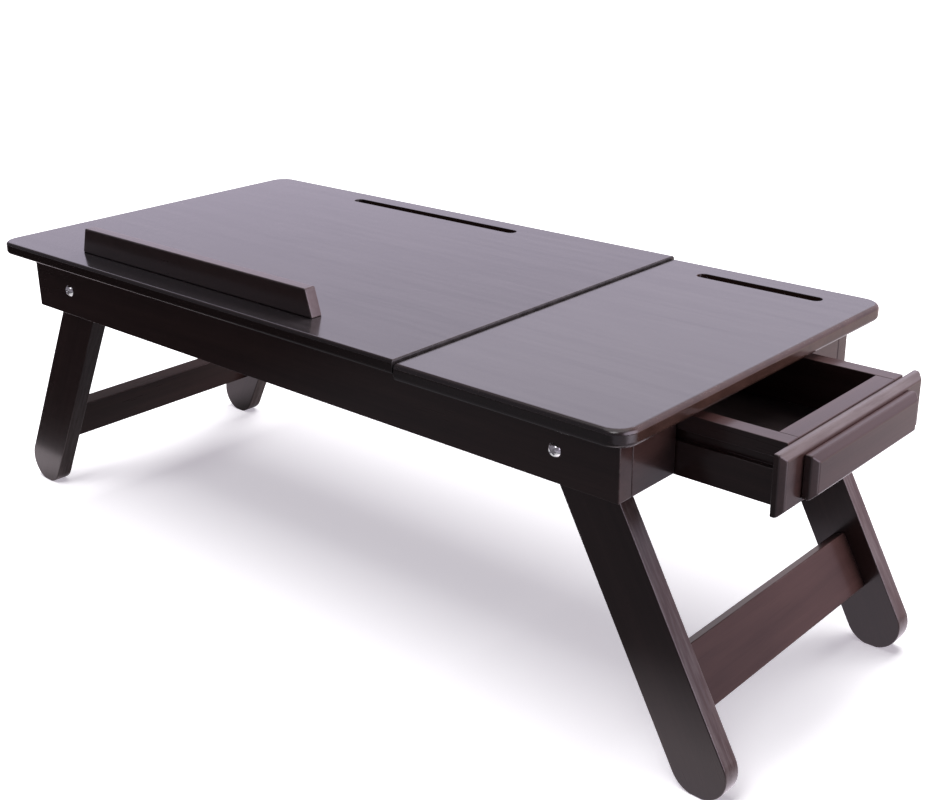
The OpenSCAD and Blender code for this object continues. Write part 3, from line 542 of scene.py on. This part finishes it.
# Floor as it is mirrored, a painted reflection: on the left, a painted shadow under the desk, by the right
# legs, on the right, behind and before the feet, with a glare further out on the right, and the places where
# one goes over into the next
FLOOR_LEFT = colour(0.72, 0.60, 0.68)
FLOOR_UNDER_SHADOW = colour(0.12, 0.11, 0.12)
FLOOR_MIDDLE = colour(0.95, 0.84, 0.95)
FLOOR_RIGHT = colour(0.25, 0.22, 0.28)
FLOOR_BEHIND = colour(0.72, 0.58, 0.58)
FLOOR_FRONT = colour(0.95, 0.82, 0.88)
FLOOR_GLARE = colour(2.0, 1.8, 2.1)
FLOOR_GLARE_AT = (0.95, -0.05, 0.0)
FLOOR_GLARE_EDGE = (0.32, 0.12)
FLOOR_LEFT_TO_SHADOW = (-0.385, -0.345)
FLOOR_SHADOW_TO_MIDDLE = (0.14, 0.26)
FLOOR_MIDDLE_TO_RIGHT = (0.35, 0.42)
FLOOR_RIGHT_TO_BEHIND = (0.30, 0.85)
FLOOR_MIDDLE_TO_FRONT = (-0.10, -0.14)


def ray_kinds(tree):
    """1 for rays from the camera, and 1 for mirrored or refracted rays; soft light is neither."""
    path = shader_node(tree, "ShaderNodeLightPath").outputs
    mirrored = math_node(tree, "MAXIMUM", path["Is Glossy Ray"], path["Is Transmission Ray"])
    return path["Is Camera Ray"], mirrored


def mirrored_sky(tree):
    way = shader_node(tree, "ShaderNodeTexCoord").outputs["Generated"]
    part = shader_node(tree, "ShaderNodeSeparateXYZ", {"Vector": way}).outputs
    sky = mix_colour(tree, remap(tree, part["Z"], *SKY_STEP), SKY_LOW, SKY_HIGH)
    lean = remap(tree, part["Z"], *SKY_LEAN_FROM, 0.0, SKY_LEAN)
    toward_far_side = math_node(tree, "SUBTRACT", part["Y"], lean)
    sky = mix_colour(tree, remap(tree, toward_far_side, *SKY_SIDES), SKY_FRONT, sky)
    sky = mix_colour(tree, remap(tree, part["Z"], *SKY_CEILING_FROM), sky, SKY_CEILING)
    for direction, edge, glow in SKY_LAMPS:
        toward = shader_node(tree, "ShaderNodeVectorMath", {0: way, 1: direction}, operation="DOT_PRODUCT")
        sky = mix_colour(tree, remap(tree, toward.outputs["Value"], *edge), sky, glow)
    return sky


def make_world():
    """White to the camera, a sky to mirrors, and weak even light to the rest."""
    world = bpy.data.worlds.new("studio")
    world.use_nodes = True
    world.cycles.sampling_method = "NONE"
    tree = world.node_tree
    tree.nodes.clear()
    seen, mirrored = ray_kinds(tree)
    tone = mix_colour(tree, mirrored, AMBIENT, mirrored_sky(tree))
    tone = mix_colour(tree, seen, tone, WHITE)
    light = shader_node(tree, "ShaderNodeBackground", {"Color": tone, "Strength": 1.0})
    output = shader_node(tree, "ShaderNodeOutputWorld")
    tree.links.new(light.outputs[0], output.inputs["Surface"])
    scene.world = world


def flat_sheet(name, x0, x1, y0, y1, z):
    mesh = bpy.data.meshes.new(name)
    mesh.from_pydata([(x0, y0, z), (x1, y0, z), (x1, y1, z), (x0, y1, z)], [], [(0, 1, 2, 3)])
    made = bpy.data.objects.new(name, mesh)
    scene.collection.objects.link(made)
    return made


def mirrored_floor(tree, place):
    # A painted reflection of the floor, dark under the desk as a painted shadow
    along = shader_node(tree, "ShaderNodeSeparateXYZ", {"Vector": place}).outputs
    desk_shadow = remap(tree, along["X"], *FLOOR_LEFT_TO_SHADOW)
    middle = remap(tree, along["X"], *FLOOR_SHADOW_TO_MIDDLE)
    right = remap(tree, along["X"], *FLOOR_MIDDLE_TO_RIGHT)
    behind = remap(tree, along["Y"], *FLOOR_RIGHT_TO_BEHIND)
    before_feet = remap(tree, along["Y"], *FLOOR_MIDDLE_TO_FRONT)
    front = math_node(tree, "SUBTRACT", before_feet, right, clamp=True)
    from_glare = shader_node(tree, "ShaderNodeVectorMath", {0: place, 1: FLOOR_GLARE_AT},
                             operation="DISTANCE")
    glare = remap(tree, from_glare.outputs["Value"], *FLOOR_GLARE_EDGE)
    glow = mix_colour(tree, desk_shadow, FLOOR_LEFT, FLOOR_UNDER_SHADOW)
    glow = mix_colour(tree, middle, glow, FLOOR_MIDDLE)
    glow = mix_colour(tree, right, glow, FLOOR_RIGHT)
    glow = mix_colour(tree, behind, glow, FLOOR_BEHIND)
    glow = mix_colour(tree, front, glow, FLOOR_FRONT)
    return mix_colour(tree, glare, glow, FLOOR_GLARE)


def make_floor():
    """A pale floor that is white away from the desk and keeps its soft shadow."""
    floor = flat_sheet("floor", -FLOOR_HALF, FLOOR_HALF, -FLOOR_HALF, FLOOR_HALF, 0.0)
    material, tree = new_material("pale_floor")
    material.cycles.emission_sampling = "NONE"
    seen, mirrored = ray_kinds(tree)
    place = object_coordinates(tree)
    away = shader_node(tree, "ShaderNodeVectorMath", {0: place}, operation="LENGTH").outputs["Value"]
    seen_glow = mix_colour(tree, remap(tree, away, *FLOOR_WHITE_FROM), FLOOR_GLOW, WHITE)
    matt = shader_node(tree, "ShaderNodeBsdfDiffuse", {
        "Color": mix_colour(tree, seen, FLOOR_BOUNCE, FLOOR_ALBEDO),
    })
    # Mirrored rays see the floor's painted reflection, with a painted shadow under the desk.
    glow = shader_node(tree, "ShaderNodeEmission", {
        "Color": mix_colour(tree, seen, mirrored_floor(tree, place), seen_glow),
        "Strength": math_node(tree, "MAXIMUM", seen, mirrored),
    })
    both = shader_node(tree, "ShaderNodeAddShader", {0: matt.outputs[0], 1: glow.outputs[0]})
    finish_material(tree, both.outputs[0])
    floor.data.materials.append(material)
    return floor


# Dark card on the floor, a painted dark reflection: how far it reaches to the sides and the front, its rear
# end and its height, and its glow on the left and on the right, with the range in which one goes over into
# the other
CARD_REACH = 3.0
CARD_REAR = 0.2
CARD_HEIGHT = 0.0005
CARD_LEFT_GLOW = colour(0.040, 0.030, 0.032)
CARD_RIGHT_GLOW = colour(0.15, 0.14, 0.155)
CARD_LEFT_TO_RIGHT = (-0.45, -0.25)

# The card's soft edges: the line before the desk where it starts to cover, the line where it covers fully,
# which slants and is cut off on the left, its right end, and its painted shadow under the desk between the
# leg frames
CARD_EDGE_FROM = -0.146
CARD_EDGE_TO = -0.197
CARD_EDGE_TO_LEFT = -0.152
CARD_SLANT = 0.122
CARD_END = (0.48, 0.42)
CARD_SHADOW_LEFT = (-0.30, -0.24)
CARD_SHADOW_RIGHT = (0.26, 0.20)
CARD_SHADOW_BACK = (-0.02, -0.05)


def card_cover(tree, place):
    """1 where the card covers the floor, and 0 where it lets it through."""
    slanted = math_node(tree, "SUBTRACT", CARD_EDGE_TO, math_node(tree, "MULTIPLY", place["X"], CARD_SLANT))
    full_from = math_node(tree, "MINIMUM", slanted, CARD_EDGE_TO_LEFT)
    before_desk = remap(tree, place["Y"], CARD_EDGE_FROM, full_from)
    # Painted shadow of the desk, seen in mirrors, under the desk between the leg frames
    desk_shadow = remap(tree, place["Y"], *CARD_SHADOW_BACK)
    for side in (CARD_SHADOW_LEFT, CARD_SHADOW_RIGHT):
        desk_shadow = math_node(tree, "MULTIPLY", desk_shadow, remap(tree, place["X"], *side))
    cover = math_node(tree, "MAXIMUM", before_desk, desk_shadow)
    return math_node(tree, "MULTIPLY", cover, remap(tree, place["X"], *CARD_END))


def make_dark_card():
    """A dark card on the floor in front of the desk, seen only in the mirror of its front faces: a painted
    dark reflection, and a painted shadow under the desk.
    """
    card = flat_sheet("dark_card", -CARD_REACH, CARD_REACH, -CARD_REACH, CARD_REAR, CARD_HEIGHT)
    card.visible_camera = False
    card.visible_diffuse = False
    card.visible_shadow = False
    material, tree = new_material("dark_card")
    material.cycles.emission_sampling = "NONE"
    place = shader_node(tree, "ShaderNodeSeparateXYZ", {"Vector": object_coordinates(tree)}).outputs
    shade = mix_colour(tree, remap(tree, place["X"], *CARD_LEFT_TO_RIGHT), CARD_LEFT_GLOW, CARD_RIGHT_GLOW)
    clear = shader_node(tree, "ShaderNodeBsdfTransparent")
    dark = shader_node(tree, "ShaderNodeEmission", {"Color": shade, "Strength": 1.0})
    both = shader_node(tree, "ShaderNodeMixShader", {
        0: card_cover(tree, place), 1: clear.outputs[0], 2: dark.outputs[0],
    })
    finish_material(tree, both.outputs[0])
    card.data.materials.append(material)


# Lamps: places, what they aim at, widths and heights in metres, power in watts and tints
OVERHEAD = {"at": (0.0, 0.05, 1.9), "aim": (0.0, 0.05, 0.0), "width": 1.1, "height": 3.2, "watts": 84}
BACK = {"at": (0.2, 1.4, 1.5), "aim": (0.0, 0.0, 0.15), "width": 1.6, "height": 1.2, "watts": 85}
RIGHT_SIDE = {"at": (1.9, 0.75, 0.9), "aim": (0.2, 0.0, 0.1), "width": 1.2, "height": 1.2, "watts": 39,
              "tint": (1.0, 0.95, 0.91)}
BOLT_FILL = {"at": (0.0, -0.15, 0.002), "aim": (0.0, -0.15, 1.0), "width": 0.8, "height": 0.4, "watts": 0.6}


def soft_box(name, at, aim, width, height, watts, tint=(1, 1, 1)):
    data = bpy.data.lights.new(name, "AREA")
    data.shape = "RECTANGLE"
    data.size = width
    data.size_y = height
    data.energy = watts
    data.color = tint
    lamp = bpy.data.objects.new(name, data)
    lamp.location = at
    lamp.rotation_mode = "QUATERNION"
    lamp.rotation_quaternion = (Vector(aim) - Vector(at)).to_track_quat("-Z", "Y")
    lamp.visible_camera = False
    lamp.visible_glossy = False
    scene.collection.objects.link(lamp)
    return lamp


def linked(name, things, state):
    """A collection that a lamp is linked to, with its things taken in or left out."""
    made = bpy.data.collections.new(name)
    for thing in things:
        made.objects.link(thing)
    for link in made.collection_objects:
        link.light_linking.link_state = state
    return made


def make_studio():
    """Lamps over the floor for the desk's shadow, behind and beside the desk, and for the bolts."""
    make_world()
    floor = make_floor()
    make_dark_card()
    overhead = soft_box("overhead", **OVERHEAD)
    overhead.light_linking.receiver_collection = linked("floor_only", [floor], "INCLUDE")
    stretchers = [nodes[name] for name in STRETCHERS[GRAIN_Y]]
    overhead.light_linking.blocker_collection = linked("no_floor_shadow", stretchers, "EXCLUDE")
    back = soft_box("back", **BACK)
    right_side = soft_box("right_side", **RIGHT_SIDE)
    for lamp in (back, right_side):
        lamp.light_linking.receiver_collection = linked(lamp.name + "_off_floor", [floor], "EXCLUDE")
    bolt_fill = soft_box("bolt_fill", **BOLT_FILL)
    bolt_fill.visible_glossy = True
    bolts = [nodes[name] for name in CHROME_NODES]
    bolt_fill.light_linking.receiver_collection = linked("bolts_only", bolts, "INCLUDE")


make_camera()
finish_wood()
finish_fittings()
make_studio()
